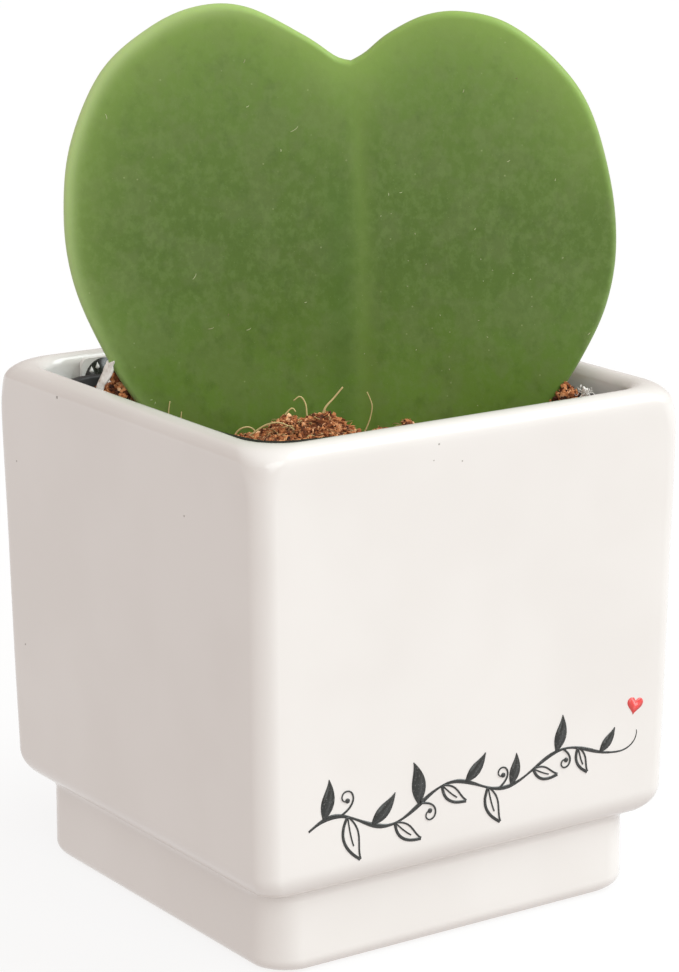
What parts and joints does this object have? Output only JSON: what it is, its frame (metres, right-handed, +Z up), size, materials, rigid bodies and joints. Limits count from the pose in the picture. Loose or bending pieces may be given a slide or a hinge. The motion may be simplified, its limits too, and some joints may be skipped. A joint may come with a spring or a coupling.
{
  "type": "potted hoya plant",
  "caption": "Heart-shaped sweetheart hoya leaf rooted in coir, in a black nursery pot set inside a white glazed ceramic cube pot.",
  "frame": {"origin": "middle of the ceramic pot's foot, on the surface it stands on", "axes": "+Z up; the decorated face of the ceramic pot looks along -Y, and the leaf faces the corner at -X -Y"},
  "size_m": [0.07, 0.07, 0.125],
  "materials": {
    "white_glaze": "smooth white ceramic glaze",
    "black_plastic": "thin moulded plastic, satin",
    "coir": "loose coconut fibre crumbs, dull",
    "paper_sleeve": "damp torn paper",
    "leaf": "waxy succulent leaf, satin",
    "label_white": "white plastic tag, satin",
    "print_black": "fired black decoration",
    "print_red": "fired red decoration"
  },
  "bodies": {
    "root": {"ceramic_pot": "white_glaze", "nursery_pot": "black_plastic", "coir": "coir", "plug_sleeve": "paper_sleeve", "hoya_leaf": "leaf", "plant_label": "label_white"}
  },
  "joints": []
}
